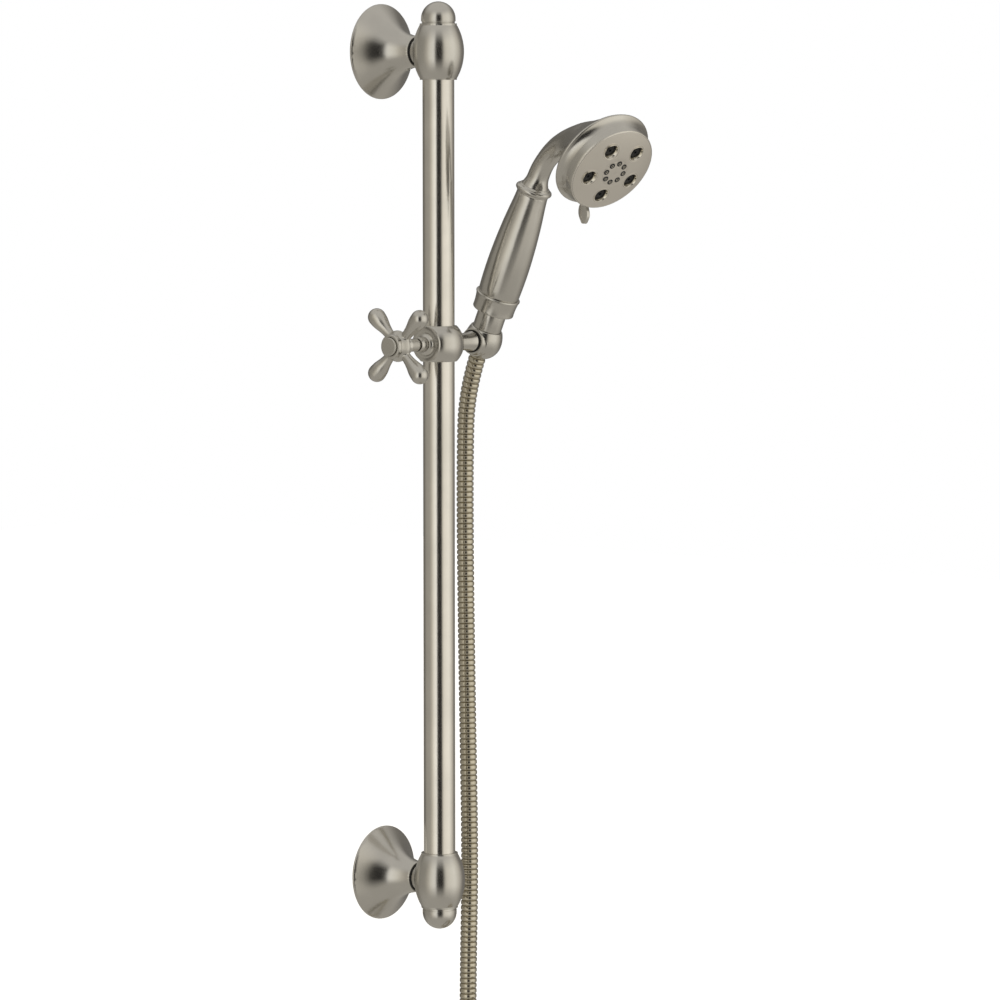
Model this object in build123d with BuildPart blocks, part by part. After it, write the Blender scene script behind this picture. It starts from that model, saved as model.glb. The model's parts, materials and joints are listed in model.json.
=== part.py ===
from build123d import *
import math
import os

# Slide-bar hand shower set: wall bar, sliding holder, hand shower with a spray lever, and its metal hose.
# The frame: +Z is up, +X runs right along the wall and the wall is the plane Y = 0, with the set on its
# -Y side. The origin is the centre of the lower wall flange, on the wall. Sizes are millimetres.

# wall brackets and bar
BRACKET_SPACING = 667.0      # between the centres of the two wall flanges
BAR_TO_WALL = 60.5           # bar axis to wall
BAR_RADIUS = 12.7            # a one inch bar
BAR_WALL = 1.4
FLANGE_RADIUS = 38.1         # three inch wall flange
NECK_RADIUS = 12.4           # flange at its narrow end
NECK_REACH = 38.5            # wall to the end of the flange's neck
BARREL_HALF = 22.4           # half the height of the barrel that holds the bar's end
BARREL_END_RADIUS = 14.8
BARREL_RADIUS = 20.5
DOME_RADIUS = 13.8
DOME_GROOVE = 1.6            # height of the shadow groove under the dome
DOME_SKIRT = 2.1             # straight part of the dome

# wall plate
PLATE_RADIUS = 25.0
PLATE_THICK = 4.0
SCREW_CIRCLE = 36.0          # pitch circle of the wall screws
SCREW_HOLE = 2.4
SCREW_COUNT = 3

# slider
SLIDER_HEIGHT = 434.2        # rest height of the slider above the origin
SLIDER_RADIUS = 20.3
SLIDER_HALF = 14.3           # half the height between its flats
CLAMP_FACE = 16.3            # bar axis to the flat face of the clamp boss
ARM_SEAT = 17.5              # bar axis to the spot face that the holder arm stands on
ARM_ROOT_RADIUS = 6.5
CLAMP_BOSS_RADIUS = 14.0
RUNNING_FIT = 0.06           # radial play of the sliding and turning fits
BUSH_RADIUS = 13.5

# cross handle
HANDLE_PLANE = 48.5          # bar axis to the plane of the four arms
HANDLE_FRONT = 62.0
ARM_REACH = 31.5             # axis to the centre of an arm's ball end
ARM_END_RADIUS = 7.2

# holder
JOINT_FACE = 41.2            # bar axis to the turning face of the holder
BALL_OFFSET = 55.5           # bar axis to the centre of the holder ball
BALL_RADIUS = 15.5
TILT = 23.4                  # lean of the hand shower out from the vertical
TWIST = 10.0                 # turn of the hand shower about its own axis

# hand shower, heights along its axis from the centre of the holder ball
NUT_TOP = 26.0
COLLAR_TOP = 41.0
SHELL_TOP = 130.0
BEAD_TOP = 137.0
NECK_BEND = 43.0             # bend radius of the horn shaped neck
NECK_WALL = 2.2
HEAD_DROP = 12.1             # the spray face looks this much below square to the handle
HEAD_FORWARD = 77.0          # handle axis to the centre of the spray face
HEAD_UP = 185.25
FACE_RADIUS = 37.3
FACE_CROWN = 4.3             # the spray face bulges this much at its centre
RIM_RADIUS = 43.4
RIM_DEPTH = 12.8             # spray face back to the flared rim
SHELL_DEPTH = 20.0           # spray face back to the end of the neck

# hose
HOSE_RADIUS = 7.0
HOSE_LENGTH = 1500.0
COIL_RADIUS = 73.5           # centre line of the stored turns
COIL_HEIGHT = -200.0         # centre of the stored turns
TURN_PITCH = 14.3            # the turns lie side by side
TAIL_RADIUS = 70.0           # centre line of the last part, which leans out beside the turns
TAIL_LEAN = 10.0

os.makedirs("parts", exist_ok=True)


def save(piece, name):
    """Label a finished piece and write it to its own file."""
    piece.part.label = name
    export_step(piece.part, f"parts/{name}.step")


def profile(station):
    """The plane that holds a turned outline: local X is the radius, local Y runs along the station."""
    across = station.x_dir.cross(station.z_dir)
    return Plane(origin=station.origin, x_dir=station.x_dir, z_dir=across)


def centre_line(station):
    """The axis that a station's turned outline goes round."""
    return Axis(station.origin, station.z_dir)


def sleeve(station, inner, outer, start, end):
    """A plain tube or, with no inner radius, a plain disc."""
    with BuildPart() as piece:
        with BuildSketch(station.offset(start)):
            Circle(outer)
            if inner:
                Circle(inner, mode=Mode.SUBTRACT)
        extrude(amount=end - start)
    return piece


# ---------------------------------------------------------------- stations
# a station's z axis is the axis of the pieces that are turned about it
bar = Plane(origin=(0, -BAR_TO_WALL, 0), x_dir=(1, 0, 0), z_dir=(0, 0, 1))
slider = bar.offset(SLIDER_HEIGHT)
clamp = Plane(origin=(0, -BAR_TO_WALL, SLIDER_HEIGHT), x_dir=(0, -1, 0), z_dir=(-1, 0, 0))
joint = Plane(origin=(0, -BAR_TO_WALL, SLIDER_HEIGHT), x_dir=(0, -1, 0), z_dir=(1, 0, 0))
ball_centre = Vector(BALL_OFFSET, -BAR_TO_WALL, SLIDER_HEIGHT)

lean = math.radians(TILT)
turn = math.radians(TWIST)
up_hand = Vector(0, -math.sin(lean), math.cos(lean))
square = Vector(0, -math.cos(lean), -math.sin(lean))
forward = square * math.cos(turn) + Vector(-1, 0, 0) * math.sin(turn)
hand = Plane(origin=ball_centre, x_dir=forward, z_dir=up_hand)

drop = math.radians(HEAD_DROP)
spray = forward * math.cos(drop) - up_hand * math.sin(drop)
face_centre = ball_centre + forward * HEAD_FORWARD + up_hand * HEAD_UP
head_down = -(forward * math.sin(drop) + up_hand * math.cos(drop))
head = Plane(origin=face_centre, x_dir=head_down, z_dir=spray)


# ---------------------------------------------------------------- wall brackets
def bracket(name, height, outward):
    """One end of the bar: wall plate, flange, gasket, barrel, dome, plug and set screw.

    outward is +1 where the dome points up and -1 where it points down.
    """
    post = Plane(origin=(0, 0, height), x_dir=(1, 0, 0), z_dir=(0, -1, 0))
    barrel_axis = Plane(origin=(0, -BAR_TO_WALL, height), x_dir=(1, 0, 0), z_dir=(0, 0, outward))
    plate_boss = 9.3
    stem = 6.0
    screw_reach = 30.0

    with BuildPart() as plate:
        with BuildSketch(post):
            Circle(PLATE_RADIUS)
        extrude(amount=PLATE_THICK)
        with BuildSketch(post.offset(PLATE_THICK)):
            Circle(plate_boss)
        extrude(amount=NECK_REACH - 4.5 - PLATE_THICK)
        with BuildSketch(post.offset(8)):
            Circle(stem + 0.05)
        extrude(amount=NECK_REACH, mode=Mode.SUBTRACT)
        with BuildSketch(post):
            with PolarLocations(SCREW_CIRCLE / 2, SCREW_COUNT, start_angle=90):
                Circle(SCREW_HOLE)
        extrude(amount=PLATE_THICK, mode=Mode.SUBTRACT)
        with BuildSketch(Plane(origin=(0, -screw_reach, height), z_dir=(0, 0, -1))):
            Circle(2.5)
        extrude(amount=plate_boss + 1, mode=Mode.SUBTRACT)
    save(plate, f"{name}_wall_plate")

    with BuildPart() as flange:
        with BuildSketch(profile(post)):
            with BuildLine():
                Line((FLANGE_RADIUS - 2.6, 0), (FLANGE_RADIUS, 0))
                Line((FLANGE_RADIUS, 0), (FLANGE_RADIUS, 1.4))
                Bezier((FLANGE_RADIUS, 1.4), (24, 12), (14.6, 20), (NECK_RADIUS, NECK_REACH))
                Line((NECK_RADIUS, NECK_REACH), (9.8, NECK_REACH))
                Bezier((9.8, NECK_REACH), (12.2, 18), (21.5, 10), (FLANGE_RADIUS - 2.6, 0))
            make_face()
        revolve(axis=centre_line(post))
        with BuildSketch(Plane(origin=(0, -screw_reach, height), z_dir=(0, 0, -1))):
            Circle(2.5)
        extrude(amount=NECK_RADIUS + 4, mode=Mode.SUBTRACT)
    save(flange, f"{name}_flange")

    gasket = sleeve(post, 9.6, 11.7, NECK_REACH, NECK_REACH + 1.1)
    save(gasket, f"{name}_gasket")

    set_screw = sleeve(Plane(origin=(0, -screw_reach, height), z_dir=(0, 0, -1)),
                       1.3, 2.4, stem + 0.05, NECK_RADIUS - 0.6)
    save(set_screw, f"{name}_set_screw")

    with BuildPart() as barrel:
        with BuildSketch(profile(barrel_axis)):
            with BuildLine():
                Line((0, -BARREL_HALF), (BARREL_END_RADIUS, -BARREL_HALF))
                Line((BARREL_END_RADIUS, -BARREL_HALF), (BARREL_END_RADIUS, 1.2 - BARREL_HALF))
                ThreePointArc((BARREL_END_RADIUS, 1.2 - BARREL_HALF), (BARREL_RADIUS, 0),
                              (BARREL_END_RADIUS, BARREL_HALF - 1.2))
                Line((BARREL_END_RADIUS, BARREL_HALF - 1.2), (BARREL_END_RADIUS, BARREL_HALF))
                Line((BARREL_END_RADIUS, BARREL_HALF), (0, BARREL_HALF))
                Line((0, BARREL_HALF), (0, -BARREL_HALF))
            make_face()
        revolve(axis=centre_line(barrel_axis))
        with BuildSketch(post.offset(NECK_REACH + 1.1)):
            Circle(11.3)
        extrude(amount=12)
        with BuildSketch(post.offset(10)):
            Circle(stem)
        extrude(amount=NECK_REACH)
        with BuildSketch(barrel_axis.offset(-BARREL_HALF - 1)):
            Circle(BAR_RADIUS + 0.02)
        extrude(amount=2 * BARREL_HALF + 2, mode=Mode.SUBTRACT)
    save(barrel, f"{name}_barrel")

    plug = sleeve(barrel_axis, 3.1, BAR_RADIUS - BAR_WALL - 0.02, BARREL_HALF - 12, BARREL_HALF - 0.2)
    save(plug, f"{name}_bar_plug")

    dome_base = BARREL_HALF + DOME_GROOVE
    dome_peak = dome_base + DOME_SKIRT + DOME_RADIUS
    corner = DOME_RADIUS * math.sqrt(0.5)
    with BuildPart() as dome:
        with BuildSketch(profile(barrel_axis)):
            with BuildLine():
                Line((0, BARREL_HALF - 11), (3.0, BARREL_HALF - 11))
                Line((3.0, BARREL_HALF - 11), (3.0, BARREL_HALF))
                Line((3.0, BARREL_HALF), (DOME_RADIUS - 0.6, BARREL_HALF))
                Line((DOME_RADIUS - 0.6, BARREL_HALF), (DOME_RADIUS - 0.6, dome_base))
                Line((DOME_RADIUS - 0.6, dome_base), (DOME_RADIUS, dome_base))
                Line((DOME_RADIUS, dome_base), (DOME_RADIUS, dome_base + DOME_SKIRT))
                ThreePointArc((DOME_RADIUS, dome_base + DOME_SKIRT),
                              (corner, dome_base + DOME_SKIRT + corner), (0, dome_peak))
                Line((0, dome_peak), (0, BARREL_HALF - 11))
            make_face()
        revolve(axis=centre_line(barrel_axis))
    save(dome, f"{name}_dome")


bracket("lower", 0, -1)
bracket("upper", BRACKET_SPACING, 1)

bar_tube = sleeve(bar, BAR_RADIUS - BAR_WALL, BAR_RADIUS,
                  0.2 - BARREL_HALF, BRACKET_SPACING + BARREL_HALF - 0.2)
save(bar_tube, "bar_tube")

# ---------------------------------------------------------------- slider
bush = sleeve(slider, BAR_RADIUS + RUNNING_FIT, BUSH_RADIUS, 0.8 - SLIDER_HALF, SLIDER_HALF - 0.8)
save(bush, "slider_bush")

clamp_spigot = 6.5
arm_spigot = 5.0
with BuildPart() as slider_body:
    with BuildSketch(profile(slider)):
        with BuildLine():
            CenterArc((0, 0), SLIDER_RADIUS, -90, 180)
            Line((0, SLIDER_RADIUS), (0, -SLIDER_RADIUS))
        make_face()
    revolve(axis=centre_line(slider))
    with BuildSketch(clamp):
        Circle(CLAMP_BOSS_RADIUS)
    extrude(amount=CLAMP_FACE)
    with BuildSketch(clamp.offset(CLAMP_FACE)):
        Circle(SLIDER_RADIUS + 1)
    extrude(amount=SLIDER_RADIUS, mode=Mode.SUBTRACT)
    for side in (-1, 1):
        with BuildSketch(slider.offset(side * SLIDER_HALF)):
            Circle(SLIDER_RADIUS + 1)
        extrude(amount=side * SLIDER_RADIUS, mode=Mode.SUBTRACT)
    with BuildSketch(slider.offset(-SLIDER_RADIUS)):
        Circle(BUSH_RADIUS + RUNNING_FIT)
    extrude(amount=2 * SLIDER_RADIUS, mode=Mode.SUBTRACT)
    with BuildSketch(clamp):
        Circle(clamp_spigot + 0.05)
    extrude(amount=CLAMP_FACE + 1, mode=Mode.SUBTRACT)
    with BuildSketch(joint):
        Circle(arm_spigot + 0.05)
    extrude(amount=SLIDER_RADIUS + 1, mode=Mode.SUBTRACT)
    with BuildSketch(joint.offset(ARM_SEAT)):
        Circle(ARM_ROOT_RADIUS + 0.03)
    extrude(amount=SLIDER_RADIUS, mode=Mode.SUBTRACT)
save(slider_body, "slider_body")

pad_radius = 4.2
spindle_radius = 3.5
with BuildPart() as bonnet:
    with BuildSketch(profile(clamp)):
        with BuildLine():
            Polyline((pad_radius + 0.1, CLAMP_FACE - 1.9), (clamp_spigot, CLAMP_FACE - 1.9),
                     (clamp_spigot, CLAMP_FACE), (11.2, CLAMP_FACE), (11.2, CLAMP_FACE + 0.5))
            ThreePointArc((11.2, CLAMP_FACE + 0.5), (7.4, CLAMP_FACE + 1.1), (6.1, CLAMP_FACE + 2.6))
            Polyline((6.1, CLAMP_FACE + 2.6), (4.6, CLAMP_FACE + 2.6), (4.6, CLAMP_FACE + 3.3),
                     (5.7, CLAMP_FACE + 3.3))
            ThreePointArc((5.7, CLAMP_FACE + 3.3), (6.2, CLAMP_FACE + 7), (5.7, CLAMP_FACE + 10.7))
            Polyline((5.7, CLAMP_FACE + 10.7), (spindle_radius + 0.06, CLAMP_FACE + 10.7),
                     (spindle_radius + 0.06, CLAMP_FACE + 4.6), (pad_radius + 0.1, CLAMP_FACE + 4.6),
                     (pad_radius + 0.1, CLAMP_FACE - 1.9))
        make_face()
    revolve(axis=centre_line(clamp))
save(bonnet, "clamp_bonnet")

pad_end = CLAMP_FACE + 2.0
with BuildPart() as clamp_pad:
    with BuildSketch(clamp):
        Circle(pad_radius)
    extrude(amount=pad_end)
    with BuildSketch(slider.offset(-SLIDER_HALF)):
        Circle(BUSH_RADIUS + 0.3)
    extrude(amount=2 * SLIDER_HALF, mode=Mode.SUBTRACT)
save(clamp_pad, "clamp_pad")

collar_start = CLAMP_FACE + 12.0
neck_end = 38.8
with BuildPart() as spindle:
    with BuildSketch(profile(clamp)):
        with BuildLine():
            Polyline((0, pad_end), (spindle_radius, pad_end), (spindle_radius, collar_start),
                     (4.9, collar_start))
            ThreePointArc((4.9, collar_start), (5.2, collar_start + 1), (5.2, collar_start + 2))
            Polyline((5.2, collar_start + 2), (5.2, neck_end + 3), (4.0, neck_end + 3),
                     (4.0, HANDLE_PLANE + 4), (0, HANDLE_PLANE + 4), (0, pad_end))
        make_face()
    revolve(axis=centre_line(clamp))
    with BuildSketch(clamp.offset(HANDLE_PLANE + 5)):
        Circle(2.1)
    extrude(amount=-8, mode=Mode.SUBTRACT)
save(spindle, "clamp_spindle")

arm_angles = (45, 135, 225, 315)
with BuildPart() as cross_handle:
    with BuildSketch(profile(clamp)):
        with BuildLine():
            Line((5.25, neck_end), (6.9, neck_end))
            Spline((6.9, neck_end), (5.9, 45.2), (6.4, 46.3), tangents=((-0.5, 1), (1, 0.9)))
            Spline((6.4, 46.3), (12.6, 50.2), (9.3, 56.4), tangents=((1, 0.35), (-0.6, 1)))
            Line((9.3, 56.4), (10.0, 57.0))
            Line((10.0, 57.0), (9.7, 59.3))
            ThreePointArc((9.7, 59.3), (9.4, 60.0), (8.7, 60.3))
            Line((8.7, 60.3), (7.3, 60.3))
            Line((7.3, 60.3), (7.3, 57.4))
            Line((7.3, 57.4), (4.2, 57.4))
            Line((4.2, 57.4), (4.2, HANDLE_PLANE + 4.2))
            Line((4.2, HANDLE_PLANE + 4.2), (4.05, HANDLE_PLANE + 4.2))
            Line((4.05, HANDLE_PLANE + 4.2), (4.05, neck_end + 3.1))
            Line((4.05, neck_end + 3.1), (5.25, neck_end + 3.1))
            Line((5.25, neck_end + 3.1), (5.25, neck_end))
        make_face()
    revolve(axis=centre_line(clamp))
    for angle in arm_angles:
        arm_way = Vector(0, math.cos(math.radians(angle)), math.sin(math.radians(angle)))
        arm_start = Vector(-HANDLE_PLANE - 1.5, -BAR_TO_WALL, SLIDER_HEIGHT)
        arm = Plane(origin=arm_start, x_dir=(-1, 0, 0), z_dir=arm_way)
        arm_tip = ARM_REACH + ARM_END_RADIUS
        with BuildSketch(profile(arm)):
            with BuildLine():
                Line((0, 8.5), (4.6, 8.5))
                Spline((4.6, 8.5), (4.1, 13.0), (5.4, 21.0), (ARM_END_RADIUS, ARM_REACH),
                       tangents=((-0.45, 1), (0.05, 1)))
                ThreePointArc((ARM_END_RADIUS, ARM_REACH),
                              (ARM_END_RADIUS * math.sqrt(0.5), ARM_REACH + ARM_END_RADIUS * math.sqrt(0.5)),
                              (0, arm_tip))
                Line((0, arm_tip), (0, 8.5))
            make_face()
        revolve(axis=centre_line(arm))
save(cross_handle, "cross_handle")

with BuildPart() as handle_screw:
    with BuildSketch(clamp.offset(HANDLE_PLANE + 4.3)):
        Circle(3.8)
    extrude(amount=3.4)
    with BuildSketch(clamp.offset(HANDLE_PLANE + 4.3)):
        Circle(2.0)
    extrude(amount=-6.5)
    with BuildSketch(clamp.offset(HANDLE_PLANE + 7.7)):
        RegularPolygon(2.0, 6)
    extrude(amount=-2.2, mode=Mode.SUBTRACT)
save(handle_screw, "handle_screw")

with BuildPart() as handle_cap:
    with BuildSketch(clamp.offset(57.6)):
        Circle(7.2)
    extrude(amount=HANDLE_FRONT - 57.6)
    fillet(handle_cap.faces().sort_by(Axis.X)[0].edges(), radius=0.8)
save(handle_cap, "handle_cap")

# ---------------------------------------------------------------- holder arm and tilting holder
SCREW_SEAT = 1.3             # thickness of the ball's wall under the head of the joint screw
with BuildPart() as holder_arm:
    with BuildSketch(profile(joint)):
        with BuildLine():
            Line((2.5, BUSH_RADIUS + 0.7), (arm_spigot, BUSH_RADIUS + 0.7))
            Line((arm_spigot, BUSH_RADIUS + 0.7), (arm_spigot, ARM_SEAT))
            Line((arm_spigot, ARM_SEAT), (ARM_ROOT_RADIUS, ARM_SEAT))
            Line((ARM_ROOT_RADIUS, ARM_SEAT), (ARM_ROOT_RADIUS, SLIDER_RADIUS))
            Spline((ARM_ROOT_RADIUS, SLIDER_RADIUS), (7.0, 31.0), (8.5, JOINT_FACE - 1.1),
                   tangents=((0, 1), (0.35, 1)))
            Line((8.5, JOINT_FACE - 1.1), (2.5, JOINT_FACE - 1.1))
            Line((2.5, JOINT_FACE - 1.1), (2.5, BUSH_RADIUS + 0.7))
        make_face()
    revolve(axis=centre_line(joint))
save(holder_arm, "holder_arm")

joint_ring = sleeve(joint, 5.5, 9.2, JOINT_FACE - 1.1, JOINT_FACE - 0.3)
save(joint_ring, "joint_ring")

with BuildPart() as joint_screw:
    with BuildSketch(joint.offset(BUSH_RADIUS + 3)):
        Circle(2.45)
    extrude(amount=JOINT_FACE + SCREW_SEAT + 0.2 - BUSH_RADIUS - 3)
    with BuildSketch(joint.offset(JOINT_FACE + SCREW_SEAT + 0.2)):
        Circle(4.2)
    extrude(amount=1.5)
    with BuildSketch(joint.offset(JOINT_FACE + SCREW_SEAT + 1.7)):
        RegularPolygon(1.7, 6)
    extrude(amount=-1.1, mode=Mode.SUBTRACT)
save(joint_screw, "joint_screw")

rim_height = 10.9
rim_radius = 12.9
nut_radius = 11.75
cone_bottom = -8.5
cone_bottom_radius = 9.6
with BuildPart() as holder_ball:
    with BuildSketch(profile(hand)):
        with BuildLine():
            ThreePointArc((0, -BALL_RADIUS), (BALL_RADIUS * math.sqrt(0.5), -BALL_RADIUS * math.sqrt(0.5)),
                          (BALL_RADIUS, 0))
            Spline((BALL_RADIUS, 0), (14.9, 5.5), (rim_radius + 0.4, rim_height - 0.6),
                   tangents=((0, 1), (-0.4, 1)))
            Line((rim_radius + 0.4, rim_height - 0.6), (rim_radius - 0.2, rim_height))
            Line((rim_radius - 0.2, rim_height), (0, rim_height))
            Line((0, rim_height), (0, -BALL_RADIUS))
        make_face()
    revolve(axis=centre_line(hand))
    with BuildSketch(joint.offset(JOINT_FACE)):
        Circle(BALL_RADIUS)
    extrude(amount=-BALL_RADIUS, mode=Mode.SUBTRACT)
    with BuildSketch(profile(joint)):
        with BuildLine():
            Line((0, JOINT_FACE), (10.4, JOINT_FACE))
            Line((10.4, JOINT_FACE), (10.7, JOINT_FACE + 0.4))
            ThreePointArc((10.7, JOINT_FACE + 0.4), (10.9, JOINT_FACE + 2.6), (12.4, JOINT_FACE + 4.6))
            Line((12.4, JOINT_FACE + 4.6), (11.0, JOINT_FACE + 6))
            Line((11.0, JOINT_FACE + 6), (0, JOINT_FACE + 6))
            Line((0, JOINT_FACE + 6), (0, JOINT_FACE))
        make_face()
    revolve(axis=centre_line(joint))
    with BuildSketch(hand.offset(rim_height)):
        Circle(2 * BALL_RADIUS)
    extrude(amount=BALL_RADIUS, mode=Mode.SUBTRACT)
    with BuildSketch(profile(hand)):
        with BuildLine():
            Polyline((0, -BALL_RADIUS - 2), (8.8, -BALL_RADIUS - 2), (8.8, cone_bottom - 0.6),
                     (cone_bottom_radius + 0.3, cone_bottom - 0.6), (nut_radius + 0.32, rim_height + 0.1),
                     (0, rim_height + 0.1), (0, -BALL_RADIUS - 2))
        make_face()
    revolve(axis=centre_line(hand), mode=Mode.SUBTRACT)
    with BuildSketch(joint.offset(JOINT_FACE - 1)):
        Circle(2.45 + RUNNING_FIT)
    extrude(amount=5, mode=Mode.SUBTRACT)
    with BuildSketch(joint.offset(JOINT_FACE + SCREW_SEAT)):
        Circle(4.6)
    extrude(amount=8, mode=Mode.SUBTRACT)
save(holder_ball, "holder_ball")

# ---------------------------------------------------------------- hose nut in the socket
ferrule_bottom = -6.0
thread_start = 13.0
with BuildPart() as hose_nut:
    with BuildSketch(profile(hand)):
        with BuildLine():
            Polyline((7.6, cone_bottom), (cone_bottom_radius, cone_bottom), (nut_radius, rim_height),
                     (nut_radius, NUT_TOP - 0.4), (nut_radius - 0.4, NUT_TOP), (10.2, NUT_TOP),
                     (10.2, thread_start - 2), (7.6, thread_start - 2), (7.6, cone_bottom))
        make_face()
    revolve(axis=centre_line(hand))
save(hose_nut, "hose_nut")

with BuildPart() as hose_ferrule:
    with BuildSketch(profile(hand)):
        with BuildLine():
            Polyline((4.5, ferrule_bottom), (HOSE_RADIUS, ferrule_bottom), (7.4, thread_start - 1.8),
                     (9.6, thread_start - 1.8), (9.6, thread_start - 0.6), (4.5, thread_start - 0.6),
                     (4.5, ferrule_bottom))
        make_face()
    revolve(axis=centre_line(hand))
save(hose_ferrule, "hose_ferrule")

hose_washer = sleeve(hand, 4.8, 9.8, thread_start - 0.6, thread_start + 1.0)
save(hose_washer, "hose_washer")

# ---------------------------------------------------------------- handle
with BuildPart() as inlet:
    with BuildSketch(profile(hand)):
        with BuildLine():
            Polyline((5.6, thread_start + 1.3), (10.1, thread_start + 1.3), (10.1, NUT_TOP + 0.6),
                     (13.6, NUT_TOP + 0.6), (13.6, NUT_TOP + 6), (11.0, NUT_TOP + 6),
                     (11.0, COLLAR_TOP + 6), (5.6, COLLAR_TOP + 6), (5.6, thread_start + 1.3))
        make_face()
    revolve(axis=centre_line(hand))
save(inlet, "handle_inlet")

with BuildPart() as collar:
    with BuildSketch(profile(hand)):
        with BuildLine():
            Line((13.7, NUT_TOP + 0.4), (16.5, NUT_TOP + 0.4))
            Line((16.5, NUT_TOP + 0.4), (17.0, NUT_TOP + 0.9))
            Spline((17.0, NUT_TOP + 0.9), (17.1, 33.5), (17.9, COLLAR_TOP - 1.9),
                   tangents=((-0.05, 1), (0.2, 1)))
            ThreePointArc((17.9, COLLAR_TOP - 1.9), (18.4, COLLAR_TOP - 0.9), (17.7, COLLAR_TOP))
            Line((17.7, COLLAR_TOP), (13.7, COLLAR_TOP))
            Line((13.7, COLLAR_TOP), (13.7, NUT_TOP + 0.4))
        make_face()
    revolve(axis=centre_line(hand))
save(collar, "handle_collar")

with BuildPart() as handle_shell:
    with BuildSketch(profile(hand)):
        with BuildLine():
            Line((14.2, COLLAR_TOP), (16.8, COLLAR_TOP))
            Spline((16.8, COLLAR_TOP), (17.4, 62), (16.6, 88), (14.6, 112), (12.8, SHELL_TOP),
                   tangents=((0.05, 1), (-0.06, 1)))
            Line((12.8, SHELL_TOP), (10.5, SHELL_TOP))
            Spline((10.5, SHELL_TOP), (12.3, 112), (14.3, 88), (15.1, 62), (14.2, COLLAR_TOP),
                   tangents=((0.06, -1), (-0.05, -1)))
        make_face()
    revolve(axis=centre_line(hand))
save(handle_shell, "handle_shell")

water_tube = sleeve(hand, 5.6, 7.2, COLLAR_TOP + 6, BEAD_TOP - 1)
save(water_tube, "water_tube")

with BuildPart() as neck_bead:
    with BuildSketch(profile(hand)):
        with BuildLine():
            Line((7.3, SHELL_TOP), (13.1, SHELL_TOP))
            Line((13.1, SHELL_TOP), (13.1, SHELL_TOP + 1.4))
            ThreePointArc((13.1, SHELL_TOP + 1.4), (14.9, SHELL_TOP + 3.5), (13.1, SHELL_TOP + 5.6))
            Line((13.1, SHELL_TOP + 5.6), (12.0, BEAD_TOP))
            Line((12.0, BEAD_TOP), (7.3, BEAD_TOP))
            Line((7.3, BEAD_TOP), (7.3, SHELL_TOP))
        make_face()
    revolve(axis=centre_line(hand))
save(neck_bead, "neck_bead")

# ---------------------------------------------------------------- neck
# the neck's centre line: straight up from the bead, then an arc that ends on the head's own axis
full_bend = math.radians(90 + HEAD_DROP)
bend_depth = (HEAD_FORWARD - NECK_BEND * (1 - math.cos(full_bend))) / math.cos(drop)
neck_straight = HEAD_UP + bend_depth * math.sin(drop) - NECK_BEND * math.sin(full_bend)
print("neck: bend starts at height", round(neck_straight, 2), "and ends", round(bend_depth, 2), "behind the face")


def neck_section(share):
    """The plane across the neck at a share of its bend."""
    angle = full_bend * share
    across = forward * math.cos(angle) - up_hand * math.sin(angle)
    along = forward * math.sin(angle) + up_hand * math.cos(angle)
    middle = ball_centre + up_hand * neck_straight + forward * NECK_BEND - across * NECK_BEND
    return Plane(origin=middle, x_dir=across, z_dir=along)


# radius of the horn at shares of its bend, and where it meets the head
horn = ((0, 8.9), (0.19, 8.7), (0.36, 10.2), (0.475, 12.2), (0.58, 15.1), (0.67, 18.5), (0.76, 22.6),
        (0.88, 28.0), (1, 33.2))
horn_end = 37.2
with BuildPart() as gooseneck:
    for share, radius in horn:
        with BuildSketch(neck_section(share)):
            Circle(radius)
    with BuildSketch(head.offset(-SHELL_DEPTH)):
        Circle(horn_end)
    loft()
    with BuildSketch(profile(hand)):
        with BuildLine():
            Line((0, BEAD_TOP), (10.8, BEAD_TOP))
            Spline((10.8, BEAD_TOP), (10.2, BEAD_TOP + 4), (8.9, neck_straight), tangents=((-0.1, 1), (0, 1)))
            Line((8.9, neck_straight), (0, neck_straight))
            Line((0, neck_straight), (0, BEAD_TOP))
        make_face()
    revolve(axis=centre_line(hand))
    for share, radius in horn:
        with BuildSketch(neck_section(share)):
            Circle(radius - NECK_WALL)
    with BuildSketch(head.offset(-SHELL_DEPTH)):
        Circle(horn_end - NECK_WALL)
    loft(mode=Mode.SUBTRACT)
    with BuildSketch(hand.offset(BEAD_TOP)):
        Circle(6.6)
    extrude(amount=neck_straight - BEAD_TOP + 0.5, mode=Mode.SUBTRACT)
save(gooseneck, "gooseneck")

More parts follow.
